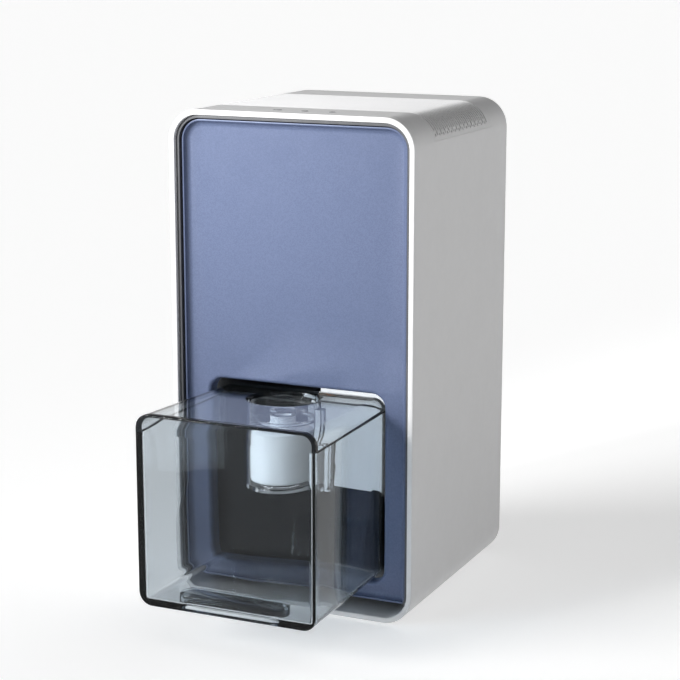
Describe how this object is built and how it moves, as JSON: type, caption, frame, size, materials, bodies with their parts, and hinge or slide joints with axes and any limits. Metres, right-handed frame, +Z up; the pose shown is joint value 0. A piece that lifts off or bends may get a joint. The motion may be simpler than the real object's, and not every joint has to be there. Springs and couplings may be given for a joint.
{
  "type": "dehumidifier",
  "caption": "Compact upright table-top dehumidifier: rounded white sleeve casing, dished blue front panel, clear smoked pull-out water tank with float, top air grille.",
  "frame": {"origin": "centre of the base pad's underside, under the middle of the casing", "axes": "+Z up, the front with the tank faces -Y, +X to the right as seen from the front"},
  "size_m": [0.1314, 0.1978, 0.2507],
  "materials": {
    "white_shell": "satin white moulded plastic",
    "dark_trim": "satin dark grey",
    "panel_blue": "satin metallic blue paint under clear coat",
    "key_print": "printed white",
    "rubber": "matte",
    "screw_steel": "zinc plated",
    "bay_plastic": "fine texture",
    "white_inner": "satin",
    "sink_alloy": "extruded",
    "ceramic": "alumina ceramic",
    "gasket_foam": "closed-cell foam",
    "silicone": "translucent silicone",
    "black_plastic": "glass-filled plastic",
    "copper": "enamelled copper wire",
    "bronze": "sintered bronze",
    "circuit_board": "solder mask",
    "spring_steel": "drawn wire",
    "smoke_clear": "polished smoke-tinted transparent plastic",
    "clear_plastic": "polished clear plastic",
    "float_white": "foamed plastic, satin",
    "magnet": "nickel plated"
  },
  "bodies": {
    "casing": {"outer_shell": "white_shell", "front_bezel": "white_shell", "panel_ring": "dark_trim", "front_panel": "panel_blue", "top_grille": "white_shell", "key_icons": "key_print", "rear_cover": "white_shell", "base_pad": "rubber", "case_screws": "screw_steel", "bay_liner": "bay_plastic", "bay_back_cover": "white_inner", "air_duct": "bay_plastic", "hot_sink": "sink_alloy", "cold_sink": "sink_alloy", "peltier_module": "ceramic", "sink_gasket": "gasket_foam", "clamp_screws": "screw_steel", "drip_tray": "white_inner", "drip_nozzle": "silicone", "float_sensor": "black_plastic", "fan_frame": "black_plastic", "fan_stator": "copper", "fan_bearing": "bronze", "fan_screws": "screw_steel", "control_board": "circuit_board", "touch_springs": "spring_steel", "power_board": "circuit_board", "board_parts": "black_plastic", "board_screws": "screw_steel", "dc_inlet": "black_plastic"},
    "fan_wheel": {"fan_rotor": "black_plastic", "fan_shaft": "screw_steel"},
    "tank": {"water_tank": "smoke_clear", "tank_lid": "smoke_clear", "lid_seal": "rubber", "float_well": "clear_plastic", "float_retainer": "clear_plastic"},
    "float": {"float_body": "float_white", "float_cap": "clear_plastic", "float_magnet": "magnet"}
  },
  "joints": [
    {"name": "tank_slide", "type": "slide", "parent": "casing", "child": "tank", "axis": [0, -1, 0], "range_m": [-0.054, 0.025]},
    {"name": "float_rise", "type": "slide", "parent": "tank", "child": "float", "axis": [0, 0, 1], "range_m": [0, 0.004]},
    {"name": "fan_spin", "type": "hinge", "parent": "casing", "child": "fan_wheel", "pos_m": [0, 0.006, 0.22], "axis": [0, 0, 1], "continuous": true}
  ]
}
